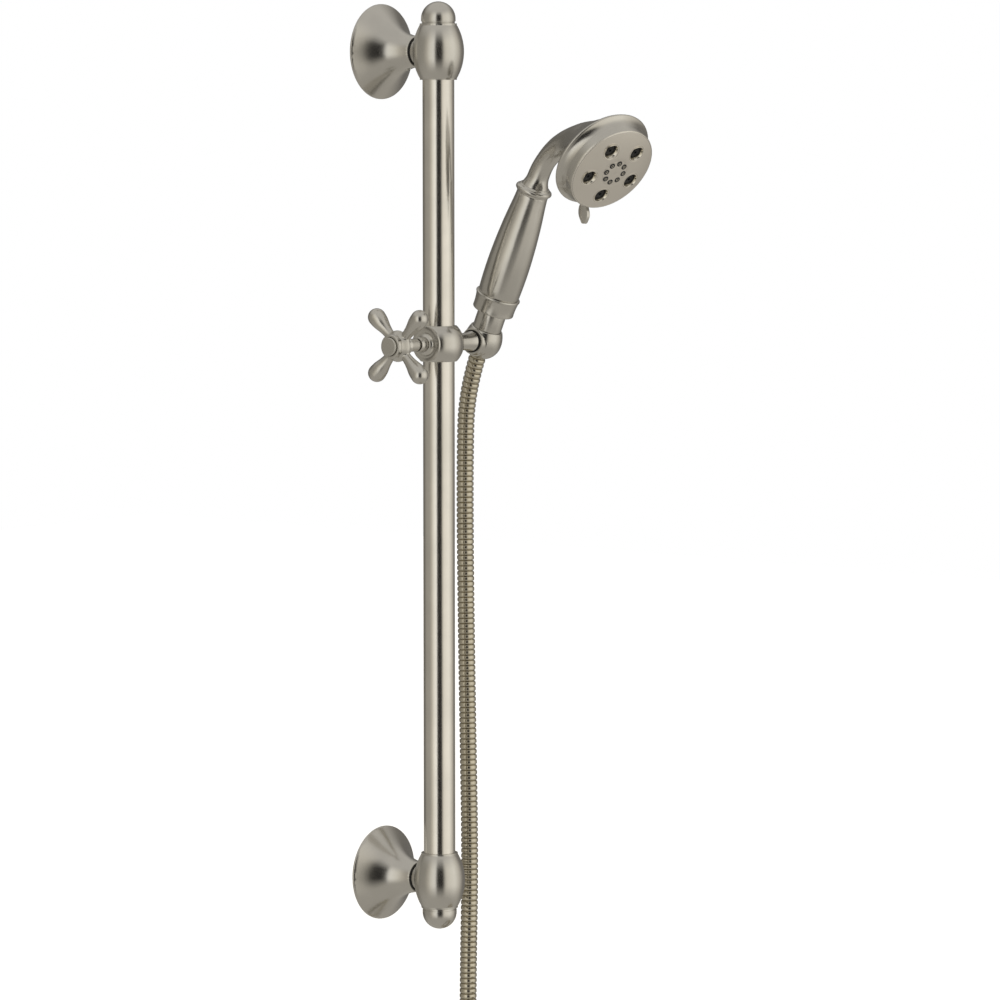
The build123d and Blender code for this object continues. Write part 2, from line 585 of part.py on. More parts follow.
# ---------------------------------------------------------------- spray head, heights behind the face
DRUM_BACK = -7.6
with BuildPart() as head_shell:
    with BuildSketch(profile(head)):
        with BuildLine():
            Line((horn_end - NECK_WALL, -SHELL_DEPTH), (horn_end, -SHELL_DEPTH))
            Spline((horn_end, -SHELL_DEPTH), (RIM_RADIUS - 1, -RIM_DEPTH - 1.5),
                   tangents=((0.8, 1), (1, 0.35)))
            ThreePointArc((RIM_RADIUS - 1, -RIM_DEPTH - 1.5), (RIM_RADIUS, -RIM_DEPTH - 0.6),
                          (RIM_RADIUS - 0.8, -RIM_DEPTH + 0.3))
            Spline((RIM_RADIUS - 0.8, -RIM_DEPTH + 0.3), (39.6, -RIM_DEPTH + 2.0), (37.5, DRUM_BACK - 0.3),
                   tangents=((-1, 0.1), (-0.2, 1)))
            Line((37.5, DRUM_BACK - 0.3), (34.6, DRUM_BACK - 0.3))
            Line((34.6, DRUM_BACK - 0.3), (34.6, -SHELL_DEPTH + 0.6))
            Line((34.6, -SHELL_DEPTH + 0.6), (horn_end - NECK_WALL, -SHELL_DEPTH))
        make_face()
    revolve(axis=centre_line(head))
    with BuildSketch(head.offset(-12.3)):
        with BuildLine():
            CenterArc((0, 0), 33.0, -27, 54)
            CenterArc((0, 0), 46.0, -27, 54)
            Line(CenterArc((0, 0), 33.0, -27, 54, mode=Mode.PRIVATE) @ 0,
                 CenterArc((0, 0), 46.0, -27, 54, mode=Mode.PRIVATE) @ 0)
            Line(CenterArc((0, 0), 33.0, -27, 54, mode=Mode.PRIVATE) @ 1,
                 CenterArc((0, 0), 46.0, -27, 54, mode=Mode.PRIVATE) @ 1)
        make_face()
    extrude(amount=5.5, mode=Mode.SUBTRACT)
save(head_shell, "head_shell")

JET_CIRCLE = 22.9            # the five large jets, centre circle
JET_RADIUS = 6.0             # mouth of a large jet's cup
CUP_FLOOR = -1.0             # the cups narrow down to this height, where their nozzles start
NOZZLE_RADIUS = 4.7
FINE_CIRCLE = 8.7            # the eight fine jets
FINE_RADIUS = 2.2
DISC_RADIUS = 11.4
DRUM_FLOOR = -5.0
face_edge = FACE_RADIUS - 0.8
crown_radius = (face_edge**2 + FACE_CROWN**2) / (2 * FACE_CROWN)


def crown(radius):
    """Height of the bulging spray face at a distance from its centre."""
    return FACE_CROWN - crown_radius + math.sqrt(crown_radius**2 - radius**2)


with BuildPart() as face_drum:
    with BuildSketch(profile(head)):
        with BuildLine():
            ThreePointArc((0, FACE_CROWN), (face_edge / 2, crown(face_edge / 2)), (face_edge, 0))
            ThreePointArc((face_edge, 0), (FACE_RADIUS - 0.23, -0.23), (FACE_RADIUS, -0.8))
            Line((FACE_RADIUS, -0.8), (FACE_RADIUS + 0.1, DRUM_BACK))
            Line((FACE_RADIUS + 0.1, DRUM_BACK), (34.4, DRUM_BACK))
            Line((34.4, DRUM_BACK), (34.4, DRUM_FLOOR))
            Line((34.4, DRUM_FLOOR), (0, DRUM_FLOOR))
            Line((0, DRUM_FLOOR), (0, FACE_CROWN))
        make_face()
    revolve(axis=centre_line(head))
    with BuildSketch(head.offset(FACE_CROWN)):
        with PolarLocations(JET_CIRCLE, 5):
            Circle(JET_RADIUS + 0.5)
    extrude(amount=CUP_FLOOR - FACE_CROWN, taper=15, mode=Mode.SUBTRACT)
    with BuildSketch(head.offset(DRUM_FLOOR)):
        with PolarLocations(JET_CIRCLE, 5):
            Circle(NOZZLE_RADIUS + 0.1)
    extrude(amount=CUP_FLOOR - DRUM_FLOOR + 0.5, mode=Mode.SUBTRACT)
    with BuildSketch(head.offset(DRUM_FLOOR)):
        Circle(DISC_RADIUS + 0.1)
    extrude(amount=2 * FACE_CROWN - DRUM_FLOOR, mode=Mode.SUBTRACT)
save(face_drum, "face_plate")

with BuildPart() as jets:
    with BuildSketch(head.offset(DRUM_FLOOR - 0.4)):
        with PolarLocations(JET_CIRCLE, 5):
            Circle(NOZZLE_RADIUS)
            Circle(2.6, mode=Mode.SUBTRACT)
    extrude(amount=CUP_FLOOR - DRUM_FLOOR + 0.6)
save(jets, "large_jets")

with BuildPart() as spray_disc:
    with BuildSketch(profile(head)):
        with BuildLine():
            ThreePointArc((0, FACE_CROWN), (DISC_RADIUS / 2, crown(DISC_RADIUS / 2)),
                          (DISC_RADIUS, crown(DISC_RADIUS)))
            Line((DISC_RADIUS, crown(DISC_RADIUS)), (DISC_RADIUS, DRUM_FLOOR))
            Line((DISC_RADIUS, DRUM_FLOOR), (0, DRUM_FLOOR))
            Line((0, DRUM_FLOOR), (0, FACE_CROWN))
        make_face()
    revolve(axis=centre_line(head))
    with BuildSketch(head.offset(DRUM_FLOOR)):
        with PolarLocations(FINE_CIRCLE, 8):
            Circle(FINE_RADIUS + 0.05)
    extrude(amount=2 * FACE_CROWN - DRUM_FLOOR, mode=Mode.SUBTRACT)
    with BuildSketch(head.offset(DRUM_FLOOR)):
        Circle(1.6)
    extrude(amount=-DRUM_FLOOR, mode=Mode.SUBTRACT)
save(spray_disc, "spray_disc")

with BuildPart() as fine_jets:
    with BuildSketch(head.offset(DRUM_FLOOR)):
        with PolarLocations(FINE_CIRCLE, 8):
            Circle(FINE_RADIUS)
            Circle(0.7, mode=Mode.SUBTRACT)
    extrude(amount=crown(FINE_CIRCLE) - 0.2 - DRUM_FLOOR)
save(fine_jets, "fine_jets")

with BuildPart() as face_screw:
    with BuildSketch(head.offset(-0.2)):
        Circle(1.5)
    extrude(amount=-13.0)
save(face_screw, "face_screw")

with BuildPart() as selector_plate:
    with BuildSketch(head.offset(-8.6)):
        Circle(32.0)
        Circle(1.6, mode=Mode.SUBTRACT)
        with PolarLocations(JET_CIRCLE, 5):
            Circle(3.0, mode=Mode.SUBTRACT)
        with PolarLocations(FINE_CIRCLE, 8):
            Circle(1.4, mode=Mode.SUBTRACT)
    extrude(amount=2.9)
save(selector_plate, "selector_plate")

with BuildPart() as manifold:
    with BuildSketch(head.offset(-13.2)):
        Circle(30.0)
        Circle(1.6, mode=Mode.SUBTRACT)
        with PolarLocations(14, 3):
            Circle(3.5, mode=Mode.SUBTRACT)
    extrude(amount=3.2)
save(manifold, "manifold_plate")

LEVER_THICK = 3.0
with BuildPart() as lever:
    with BuildSketch(head.offset(-11.9)):
        Circle(34.3)
        Circle(30.4, mode=Mode.SUBTRACT)
    extrude(amount=3.2)
    lever_side = head.z_dir.cross(head.x_dir)
    with BuildSketch(Plane(origin=face_centre - lever_side * LEVER_THICK / 2, x_dir=head.x_dir,
                           z_dir=lever_side)):
        with BuildLine():
            Line((33.0, 11.6), (38.6, 11.6))
            Spline((38.6, 11.6), (44.4, 11.4), (49.0, 8.4), (52.0, 2.6), tangents=((1, 0), (0.4, -1)))
            ThreePointArc((52.0, 2.6), (52.1, -0.8), (49.2, -2.0))
            Spline((49.2, -2.0), (43.8, -0.6), (39.9, 4.4), (38.4, 8.8), tangents=((-1, 0.05), (-0.2, 1)))
            Line((38.4, 8.8), (33.0, 8.8))
            Line((33.0, 8.8), (33.0, 11.6))
        make_face()
    extrude(amount=LEVER_THICK)
save(lever, "spray_lever")

# ---------------------------------------------------------------- hose
hose_x = BALL_OFFSET
wall_gap = 44.0              # centre line of the hanging hose to the wall, where the coil starts
hose_start = ball_centre + up_hand * (ferrule_bottom - 0.3)
hose_lead = ball_centre - up_hand * 43.0
route = [
    hose_start,
    hose_lead,
    Vector(hose_x, -41.4, 335),
    Vector(hose_x - 0.2, -42.0, 245),
    Vector(hose_x, -44.0, 125),
    Vector(hose_x + 0.3, -46.3, 5),
    Vector(hose_x, -wall_gap, -95),
    Vector(hose_x, -wall_gap, COIL_HEIGHT + 20),
]


def corner_radii(points):
    """The largest arcs that fit the runs of a route: 0.45 of the shorter run, over tan(half the turn)."""
    radii = []
    for before, here, after in zip(points, points[1:], points[2:]):
        run_in = here - before
        run_out = after - here
        half_turn = math.radians(run_in.get_angle(run_out)) / 2
        radii.append(0.45 * min(run_in.length, run_out.length) / math.tan(half_turn))
    return radii


radii = corner_radii(route)
print("hose bend radii, mm:", [round(r) for r in radii])
with BuildPart() as hose_tube:
    with BuildLine() as hose_line:
        FilletPolyline(*route, radius=radii)
    with BuildSketch(Plane(origin=hose_start, z_dir=-up_hand)):
        Circle(HOSE_RADIUS)
    sweep(path=hose_line.wires()[0])
save(hose_tube, "hose_tube")
tube_length = hose_line.wires()[0].length
tube_volume = math.pi * HOSE_RADIUS**2 * tube_length
print("hose tube length, mm:", round(tube_length, 1), "its volume over section times length:",
      round(hose_tube.part.volume / tube_volume, 4))

# the length below the brackets is stored as one and a half turns and a tail that leans out beside them
coil_centre = Vector(hose_x, -wall_gap - COIL_RADIUS, COIL_HEIGHT)
ring_length = 1.5 * 2 * math.pi * COIL_RADIUS
fitting_length = 20.0
tail_length = HOSE_LENGTH - tube_length - fitting_length - ring_length
tail_arc = tail_length / TAIL_RADIUS
print("hose tail, degrees:", round(math.degrees(tail_arc), 1))
coil_axis = Plane(origin=coil_centre, x_dir=(0, 1, 0), z_dir=(1, 0, 0))
with BuildPart() as hose_coil:
    with BuildSketch(profile(coil_axis)):
        with Locations((COIL_RADIUS, TURN_PITCH / 2)):
            RectangleRounded(2 * HOSE_RADIUS, 2 * HOSE_RADIUS + TURN_PITCH, HOSE_RADIUS - 0.1)
    revolve(axis=centre_line(coil_axis))
save(hose_coil, "hose_coil")

tail_side = Vector(math.sin(math.radians(TAIL_LEAN)), math.cos(math.radians(TAIL_LEAN)), 0)
tail_start = coil_centre + Vector(TURN_PITCH, -COIL_RADIUS, 0)
tail_centre = tail_start + tail_side * TAIL_RADIUS
with BuildPart() as hose_tail:
    with BuildSketch(Plane(origin=tail_start, x_dir=tail_side, z_dir=(0, 0, 1))):
        Circle(HOSE_RADIUS - 0.1)
    revolve(axis=Axis(tail_centre, tail_side.cross(Vector(0, 0, -1))), revolution_arc=math.degrees(tail_arc))
save(hose_tail, "hose_tail")

upright = Vector(0, 0, 1)
tail_end = tail_centre - tail_side * (math.cos(tail_arc) * TAIL_RADIUS) + upright * (math.sin(tail_arc) * TAIL_RADIUS)
tail_way = tail_side * math.sin(tail_arc) + upright * math.cos(tail_arc)
supply = Plane(origin=tail_end, x_dir=(1, 0, 0), z_dir=tail_way)
print("hose far end:", tail_end, tail_way)

with BuildPart() as supply_ferrule:
    with BuildSketch(profile(supply)):
        with BuildLine():
            Polyline((4.5, 0), (7.9, 0), (8.3, 1.0), (8.3, 9.0), (7.2, 10.5), (7.2, 15.0), (9.3, 15.0),
                     (9.3, 16.2), (4.5, 16.2), (4.5, 0))
        make_face()
    revolve(axis=centre_line(supply))
save(supply_ferrule, "supply_ferrule")

SUPPLY_THREAD = 9.6
with BuildPart() as supply_nut:
    with BuildSketch(supply.offset(11.6)):
        RegularPolygon(12.0, 6, major_radius=False)
    extrude(amount=14.5)
    with BuildSketch(profile(supply)):
        with BuildLine():
            Polyline((12.6, 11.0), (14.5, 11.0), (14.5, 12.8), (12.6, 11.0))
        make_face()
    revolve(axis=centre_line(supply), mode=Mode.SUBTRACT)
    with BuildSketch(supply.offset(11.0)):
        Circle(7.5)
    extrude(amount=4, mode=Mode.SUBTRACT)
    with BuildSketch(supply.offset(14.6)):
        Circle(SUPPLY_THREAD)
    extrude(amount=14, mode=Mode.SUBTRACT)
    with BuildSketch(supply.offset(14.6)):
        Circle(SUPPLY_THREAD + 0.3)
    extrude(amount=3.7, mode=Mode.SUBTRACT)
save(supply_nut, "supply_nut")

supply_washer = sleeve(supply, 4.8, 9.3, 16.4, 18.2)
save(supply_washer, "supply_washer")

tie_inner = (2 * HOSE_RADIUS + 0.6, 2 * HOSE_RADIUS + TURN_PITCH + 0.6)
tie_place = Plane(origin=coil_centre + Vector(TURN_PITCH / 2, 0, -COIL_RADIUS), x_dir=(0, 0, 1), z_dir=(0, 1, 0))
with BuildPart() as coil_tie:
    with BuildSketch(tie_place.offset(-4)):
        RectangleRounded(tie_inner[0] + 3, tie_inner[1] + 3, HOSE_RADIUS + 1)
        RectangleRounded(tie_inner[0], tie_inner[1], HOSE_RADIUS - 0.2, mode=Mode.SUBTRACT)
    extrude(amount=8)
save(coil_tie, "coil_tie")
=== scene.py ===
import json
import math

import bpy
from mathutils import Matrix, Vector


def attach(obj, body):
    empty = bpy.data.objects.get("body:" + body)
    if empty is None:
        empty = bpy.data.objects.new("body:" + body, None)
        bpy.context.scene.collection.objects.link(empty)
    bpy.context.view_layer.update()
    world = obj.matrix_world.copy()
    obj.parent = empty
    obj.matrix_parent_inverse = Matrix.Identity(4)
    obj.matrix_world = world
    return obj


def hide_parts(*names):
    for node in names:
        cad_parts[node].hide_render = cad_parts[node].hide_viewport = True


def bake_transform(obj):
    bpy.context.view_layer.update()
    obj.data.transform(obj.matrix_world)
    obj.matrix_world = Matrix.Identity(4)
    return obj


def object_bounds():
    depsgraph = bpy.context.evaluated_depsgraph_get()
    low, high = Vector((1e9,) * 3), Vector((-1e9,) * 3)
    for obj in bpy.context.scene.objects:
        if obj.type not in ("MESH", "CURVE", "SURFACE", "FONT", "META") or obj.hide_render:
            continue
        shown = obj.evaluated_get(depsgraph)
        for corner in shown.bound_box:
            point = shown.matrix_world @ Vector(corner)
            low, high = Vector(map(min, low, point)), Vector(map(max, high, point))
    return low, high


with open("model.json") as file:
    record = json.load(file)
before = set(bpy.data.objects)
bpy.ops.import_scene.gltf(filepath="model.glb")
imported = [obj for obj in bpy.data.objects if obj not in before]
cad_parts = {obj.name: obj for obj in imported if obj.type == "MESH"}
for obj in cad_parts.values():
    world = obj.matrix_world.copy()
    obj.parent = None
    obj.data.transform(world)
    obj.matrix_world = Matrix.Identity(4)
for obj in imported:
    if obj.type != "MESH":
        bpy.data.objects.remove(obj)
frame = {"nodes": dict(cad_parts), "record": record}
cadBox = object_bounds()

# Slide bar, slider with a cross handle, tilting socket and hand shower, in metres.
# +Z runs up the bar, +X to the right along the wall, and the wall is behind at Y = 0.
mm = 0.001


def deselectAll():
    if bpy.context.object and bpy.context.object.mode != "OBJECT":
        bpy.ops.object.mode_set(mode="OBJECT")
    bpy.ops.object.select_all(action="DESELECT")


def tint(hexColour):
    # sRGB hex to the linear values that the shaders take
    linear = []
    for start in (0, 2, 4):
        value = int(hexColour[start:start + 2], 16) / 255
        linear.append(value / 12.92 if value <= 0.04045 else ((value + 0.055) / 1.055) ** 2.4)
    return (*linear, 1.0)


def addNode(tree, kind, settings=None, sockets=None, links=None):
    node = tree.nodes.new(kind)
    for key, value in (settings or {}).items():
        setattr(node, key, value)
    for key, value in (sockets or {}).items():
        node.inputs[key].default_value = value
    for key, source in (links or {}).items():
        tree.links.new(source, node.inputs[key])
    return node


def newMaterial(name):
    material = bpy.data.materials.new(name)
    material.use_nodes = True
    tree = material.node_tree
    tree.nodes.clear()
    return material, tree


cameraShape = {"place": (-3.092, -2.663, 0.666), "turn": -50.61, "down": 5.06, "roll": 0.0005, "lens": 181.8,
               "sensor": 36, "farEnd": 50}
bpy.ops.object.camera_add()
camera = bpy.context.object
camera.data.lens = cameraShape["lens"]
camera.data.sensor_width = cameraShape["sensor"]
camera.data.clip_end = cameraShape["farEnd"]
camera.location = cameraShape["place"]
camera.rotation_euler = (math.radians(90 - cameraShape["down"]), cameraShape["roll"],
                         math.radians(cameraShape["turn"]))
bpy.context.scene.camera = camera
print("camera set")

# light by bearing, with a dark gap where the camera stands, which draws the dark line on round metal
# ceiling and floor take over from the walls between two heights of the way that a ray goes
studioShape = {"ceiling": "bcb9b3", "ceilingFrom": 0.35, "ceilingFull": 0.75,
               "floor": "a5a199", "floorFrom": -0.25, "floorFull": -0.65, "strength": 1.25}
studio = bpy.data.worlds.new("studio")
studio.use_nodes = True
bpy.context.scene.world = studio
tree = studio.node_tree
tree.nodes.clear()
cameraTurn = math.radians(cameraShape["turn"])
toRight = (math.cos(cameraTurn), math.sin(cameraTurn), 0)
toCamera = (math.sin(cameraTurn), -math.cos(cameraTurn), 0)
way = addNode(tree, "ShaderNodeTexCoord").outputs["Generated"]
rightPart = addNode(tree, "ShaderNodeVectorMath", {"operation": "DOT_PRODUCT"}, {1: toRight}, {0: way})
cameraPart = addNode(tree, "ShaderNodeVectorMath", {"operation": "DOT_PRODUCT"}, {1: toCamera}, {0: way})
bearing = addNode(tree, "ShaderNodeMath", {"operation": "ARCTAN2"}, None,
                  {0: rightPart.outputs["Value"], 1: cameraPart.outputs["Value"]})
share = addNode(tree, "ShaderNodeMath", {"operation": "MULTIPLY_ADD"},
                {1: 1 / (2 * math.pi), 2: 0.5}, {0: bearing.outputs[0]})
walls = addNode(tree, "ShaderNodeValToRGB", None, None, {"Fac": share.outputs[0]})
# bearing from the camera in degrees, positive to its right, and the light that comes from there
wallLights = [
    (-180, "64625e"), (-128, "6a6761"), (-112, "8f8b83"), (-70, "98948b"), (-54, "b8b2a6"), (-40, "dedacf"),
    (-19, "f2efe8"), (-11, "2a2826"), (17, "201f1e"), (27, "c6c1b6"), (38, "dfdacf"), (75, "eae6dc"),
    (104, "c2bdb3"), (128, "7d7973"), (160, "6a6763"), (180, "64625e"),
]
ramp = walls.color_ramp
ramp.interpolation = "LINEAR"
while len(ramp.elements) > 1:
    ramp.elements.remove(ramp.elements[0])
for index, (degrees, colour) in enumerate(wallLights):
    spot = ramp.elements[0] if index == 0 else ramp.elements.new((degrees + 180) / 360)
    spot.position = (degrees + 180) / 360
    spot.color = tint(colour)
heightPart = addNode(tree, "ShaderNodeSeparateXYZ", None, None, {0: way})
upShare = addNode(tree, "ShaderNodeMapRange", None,
                  {1: studioShape["ceilingFrom"], 2: studioShape["ceilingFull"], 3: 0.0, 4: 1.0},
                  {0: heightPart.outputs["Z"]})
withCeiling = addNode(tree, "ShaderNodeMix", {"data_type": "RGBA"}, {7: tint(studioShape["ceiling"])},
                      {0: upShare.outputs[0], 6: walls.outputs["Color"]})
downShare = addNode(tree, "ShaderNodeMapRange", None,
                    {1: studioShape["floorFrom"], 2: studioShape["floorFull"], 3: 0.0, 4: 1.0},
                    {0: heightPart.outputs["Z"]})
withFloor = addNode(tree, "ShaderNodeMix", {"data_type": "RGBA"}, {7: tint(studioShape["floor"])},
                    {0: downShare.outputs[0], 6: withCeiling.outputs[2]})
reflected = addNode(tree, "ShaderNodeBackground", None, {"Strength": studioShape["strength"]},
                    {"Color": withFloor.outputs[2]})
backdrop = addNode(tree, "ShaderNodeBackground", None, {"Color": (1, 1, 1, 1), "Strength": 1.0})
seen = addNode(tree, "ShaderNodeLightPath")
chooser = addNode(tree, "ShaderNodeMixShader", None, None,
                  {0: seen.outputs["Is Camera Ray"], 1: reflected.outputs[0], 2: backdrop.outputs[0]})
addNode(tree, "ShaderNodeOutputWorld", None, None, {0: chooser.outputs[0]})
bpy.context.scene.view_settings.view_transform = "Standard"
print("studio lit")

def satinMetal(name, colour, roughness, grain=0.35, streak=(1, 1, 1), mottle=0.05):
    # brushed lines are too fine to see one by one, so they are drawn about 0.4 mm apart
    material, tree = newMaterial(name)
    place = addNode(tree, "ShaderNodeTexCoord").outputs["Object"]
    mapping = addNode(tree, "ShaderNodeMapping", None, {"Scale": streak}, {0: place})
    lines = addNode(tree, "ShaderNodeTexNoise", None, {"Scale": 2400.0, "Detail": 3.0, "Roughness": 0.6},
                    {0: mapping.outputs[0]})
    clouds = addNode(tree, "ShaderNodeTexNoise", None, {"Scale": 38.0, "Detail": 4.0}, {0: place})
    shade = addNode(tree, "ShaderNodeMapRange", None, {1: 0.3, 2: 0.7, 3: 1 - mottle, 4: 1 + mottle},
                    {0: clouds.outputs[0]})
    base = addNode(tree, "ShaderNodeVectorMath", {"operation": "SCALE"}, {0: tint(colour)[:3]},
                   {3: shade.outputs[0]})
    dull = addNode(tree, "ShaderNodeMapRange", None,
                   {1: 0.25, 2: 0.75, 3: roughness - 0.05, 4: roughness + 0.05}, {0: lines.outputs[0]})
    relief = addNode(tree, "ShaderNodeBump", None, {"Strength": grain, "Distance": 0.02 * mm},
                     {"Height": lines.outputs[0]})
    surface = addNode(tree, "ShaderNodeBsdfPrincipled", None, {"Metallic": 1.0},
                      {"Base Color": base.outputs[0], "Roughness": dull.outputs[0],
                       "Normal": relief.outputs[0]})
    addNode(tree, "ShaderNodeOutputMaterial", None, None, {0: surface.outputs[0]})
    return material


def mouldedPlastic(name, colour, roughness):
    material, tree = newMaterial(name)
    place = addNode(tree, "ShaderNodeTexCoord").outputs["Object"]
    specks = addNode(tree, "ShaderNodeTexNoise", None, {"Scale": 900.0, "Detail": 2.0}, {0: place})
    shade = addNode(tree, "ShaderNodeMapRange", None, {1: 0.3, 2: 0.7, 3: 0.88, 4: 1.12},
                    {0: specks.outputs[0]})
    base = addNode(tree, "ShaderNodeVectorMath", {"operation": "SCALE"}, {0: tint(colour)[:3]},
                   {3: shade.outputs[0]})
    dull = addNode(tree, "ShaderNodeMapRange", None,
                   {1: 0.25, 2: 0.75, 3: roughness - 0.06, 4: roughness + 0.06}, {0: specks.outputs[0]})
    relief = addNode(tree, "ShaderNodeBump", None, {"Strength": 0.3, "Distance": 0.05 * mm},
                     {"Height": specks.outputs[0]})
    surface = addNode(tree, "ShaderNodeBsdfPrincipled", None, {"Metallic": 0.0},
                      {"Base Color": base.outputs[0], "Roughness": dull.outputs[0],
                       "Normal": relief.outputs[0]})
    addNode(tree, "ShaderNodeOutputMaterial", None, None, {0: surface.outputs[0]})
    return material


# nickel plate over brass, brushed and then lacquered: a light neutral grey with soft-edged reflections
satinNickel = satinMetal("satinNickelPlate", "cbc9c4", 0.21)
# the drawn bar is brushed along its length
drawnNickel = satinMetal("drawnNickelTube", "e2dfd9", 0.19, streak=(1, 1, 0.04))
# polished strip of the hose, warmer than the castings
hoseNickel = satinMetal("hoseNickelStrip", "c8c2b2", 0.2)
# the cups round the large jets are polished, so they mirror sharply
polishedNickel = satinMetal("polishedNickelCup", "d6d2c8", 0.1, grain=0.1, mottle=0.02)
# vacuum plated ABS of the spray face, duller and lighter than the metal
faceNickel = satinMetal("platedFacePlastic", "e4e0d9", 0.34, mottle=0.03)
# zinc plated steel of the screws and wall plates
zincSteel = satinMetal("zincPlatedSteel", "a9aaab", 0.35)
plainBrass = satinMetal("turnedBrass", "b8935a", 0.3)
nozzleRubber = mouldedPlastic("nozzleSilicone", "17181a", 0.5)
sealRubber = mouldedPlastic("sealRubber", "101010", 0.65)
greyPlastic = mouldedPlastic("greyAcetal", "6d6d6c", 0.45)
darkPlastic = mouldedPlastic("blackNylon", "1c1c1c", 0.4)
# white studio floor, lit so that it runs into the backdrop
paleFloor, tree = newMaterial("paleStudioFloor")
dust = addNode(tree, "ShaderNodeTexNoise", None, {"Scale": 3.0, "Detail": 3.0},
               {0: addNode(tree, "ShaderNodeTexCoord").outputs["Object"]})
floorShade = addNode(tree, "ShaderNodeMapRange", None, {1: 0.3, 2: 0.7, 3: 0.93, 4: 0.97},
                     {0: dust.outputs[0]})
matt = addNode(tree, "ShaderNodeBsdfPrincipled", None,
               {"Roughness": 0.8, "Emission Color": (1, 1, 1, 1), "Emission Strength": 0.6},
               {"Base Color": floorShade.outputs[0]})
addNode(tree, "ShaderNodeOutputMaterial", None, None, {0: matt.outputs[0]})
print("materials made")
slotMaterials = {"nickel": satinNickel, "bare_brass": plainBrass, "steel": zincSteel, "hose": hoseNickel,
                 "face": faceNickel, "black_rubber": sealRubber, "grey_plastic": greyPlastic,
                 "dark_plastic": darkPlastic}
for row in frame["record"]["subparts"]:
    for materialSlot in frame["nodes"][row["node"]].material_slots:
        materialSlot.material = slotMaterials[row["material_slot"]]
for materialSlot in frame["nodes"]["bar_tube"].material_slots:
    materialSlot.material = drawnNickel
print("CAD nodes painted")

# places that the record gives
joints = {joint["name"]: joint for joint in frame["record"]["behaviour"]["joints"]}
ballCentre = Vector(joints["holder_tilt"]["pos_m"])
upHand = Vector(joints["nut_lift"]["axis"]).normalized()
faceCentre = Vector(joints["spray_select"]["pos_m"])
sprayWay = Vector(joints["spray_select"]["axis"]).normalized()
headDrop = math.asin(-sprayWay.dot(upHand))
forward = (sprayWay + upHand * math.sin(headDrop)).normalized()
headDown = -(forward * math.sin(headDrop) + upHand * math.cos(headDrop))
headForward = (faceCentre - ballCentre).dot(forward)
headUp = (faceCentre - ballCentre).dot(upHand)


def station(origin, axis, towards):
    # the place of a turned piece: its local Z is its axis, its local X points towards something
    z = Vector(axis).normalized()
    x = (Vector(towards) - z * z.dot(Vector(towards))).normalized()
    place = Matrix((x, z.cross(x), z)).transposed().to_4x4()
    place.translation = origin
    return place


head = station(faceCentre, sprayWay, headDown)


def settle(piece, material, smoothAngle=35):
    # closes a piece's modelling: one material, smooth shading up to an angle, and its place in its mesh
    deselectAll()
    piece.select_set(True)
    bpy.context.view_layer.objects.active = piece
    bpy.ops.object.transform_apply(location=True, rotation=True, scale=True)
    piece.data.materials.clear()
    piece.data.materials.append(material)
    bpy.ops.object.shade_smooth_by_angle(angle=math.radians(smoothAngle))
    deselectAll()
    return piece


def turnPiece(name, outline, place, material, steps=96):
    # an outline of (radius, height) in millimetres, extruded corner by corner and spun about local Z
    deselectAll()
    bpy.ops.mesh.primitive_plane_add(size=mm)
    piece = bpy.context.object
    piece.name = name
    bpy.ops.object.mode_set(mode="EDIT")
    bpy.ops.mesh.select_all(action="SELECT")
    bpy.ops.mesh.merge(type="CENTER")
    bpy.ops.transform.translate(value=(outline[0][0] * mm, 0, outline[0][1] * mm))
    for before, after in zip(outline, outline[1:]):
        step = ((after[0] - before[0]) * mm, 0, (after[1] - before[1]) * mm)
        bpy.ops.mesh.extrude_vertices_move(TRANSFORM_OT_translate={"value": step})
    bpy.ops.mesh.select_all(action="SELECT")
    bpy.ops.mesh.spin(steps=steps, angle=2 * math.pi, center=(0, 0, 0), axis=(0, 0, 1))
    bpy.ops.mesh.select_all(action="SELECT")
    bpy.ops.mesh.remove_doubles(threshold=0.005 * mm)
    bpy.ops.mesh.normals_make_consistent(inside=False)
    bpy.ops.object.mode_set(mode="OBJECT")
    piece.matrix_world = place
    return settle(piece, material)


def pipeAlong(name, places, radii, sides, material):
    # a round section carried along places, one radius for each
    curve = bpy.data.curves.new(name, "CURVE")
    curve.dimensions = "3D"
    spline = curve.splines.new("POLY")
    spline.points.add(len(places) - 1)
    for spot, place, radius in zip(spline.points, places, radii):
        spot.co = (*place, 1)
        spot.radius = radius / mm
    curve.bevel_depth = mm
    curve.bevel_resolution = sides // 2 - 2
    curve.use_fill_caps = True
    piece = bpy.data.objects.new(name, curve)
    bpy.context.collection.objects.link(piece)
    deselectAll()
    piece.select_set(True)
    bpy.context.view_layer.objects.active = piece
    bpy.ops.object.convert(target="MESH")
    piece = bpy.context.object
    bpy.ops.object.mode_set(mode="EDIT")
    bpy.ops.mesh.select_all(action="SELECT")
    bpy.ops.mesh.remove_doubles(threshold=0.002 * mm)
    bpy.ops.mesh.normals_make_consistent(inside=False)
    bpy.ops.object.mode_set(mode="OBJECT")
    return settle(piece, material)


